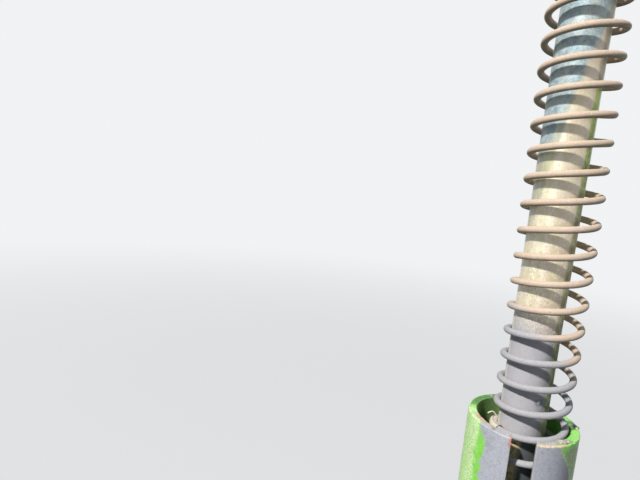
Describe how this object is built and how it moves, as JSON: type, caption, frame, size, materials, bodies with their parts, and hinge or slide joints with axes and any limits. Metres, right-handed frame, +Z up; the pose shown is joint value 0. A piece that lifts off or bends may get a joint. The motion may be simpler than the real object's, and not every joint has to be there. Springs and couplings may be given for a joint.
{
  "type": "spring strut",
  "caption": "Telescopic spring strut: a plated rod tube in a coil spring slides in a slotted guide tube, with a pinned bracket at each end.",
  "frame": {"origin": "centre of the upper bracket's bolt pattern, on its bolt face", "axes": "+Z up along the strut and out of the upper bolt face, +X along the pins, the guide tube's slot faces -Y"},
  "size_m": [0.12, 0.1043, 1.0023],
  "materials": {
    "guide_paint": "worn leaf-green paint",
    "bracket_paint": "dusty green paint",
    "rod_zinc": "dull zinc plating with yellow chromate",
    "pin_zinc": "zinc plated",
    "spring_wire": "dusty plated wire",
    "bush_bronze": "turned bronze",
    "block_plastic": "black polyamide"
  },
  "bodies": {
    "upper_bracket": {"upper_base_plate": "bracket_paint", "upper_ear_left": "bracket_paint", "upper_ear_right": "bracket_paint", "upper_pin": "pin_zinc", "upper_washer": "pin_zinc", "upper_split_pin": "pin_zinc"},
    "rod": {"rod_eye": "rod_zinc", "rod_eye_bush": "bush_bronze", "rod_tube": "rod_zinc", "upper_seat": "rod_zinc", "seat_collar": "rod_zinc", "coil_spring": "spring_wire", "slide_block": "block_plastic", "slot_roller": "pin_zinc", "guide_bolt": "pin_zinc"},
    "guide": {"guide_tube": "guide_paint", "lower_seat": "guide_paint", "rod_bush": "bush_bronze", "end_plate": "guide_paint", "guide_eye": "guide_paint", "guide_eye_bush": "bush_bronze", "guide_ribs": "guide_paint"},
    "lower_bracket": {"lower_base_plate": "bracket_paint", "lower_ear_left": "bracket_paint", "lower_ear_right": "bracket_paint", "lower_pin": "pin_zinc", "lower_washer": "pin_zinc", "lower_split_pin": "pin_zinc"}
  },
  "joints": [
    {"name": "upper_swing", "type": "hinge", "parent": "upper_bracket", "child": "rod", "pos_m": [0, 0, -0.055], "axis": [1, 0, 0], "range_deg": [-30, 30]},
    {"name": "strut_slide", "type": "slide", "parent": "rod", "child": "guide", "axis": [0, 0, 1], "range_m": [0, 0.15], "stiffness_N_per_m": 2080, "springref_m": -0.04, "deforming": ["coil_spring"]},
    {"name": "lower_swing", "type": "hinge", "parent": "guide", "child": "lower_bracket", "pos_m": [0, 0, -0.9473], "axis": [1, 0, 0], "range_deg": [-30, 30]}
  ]
}
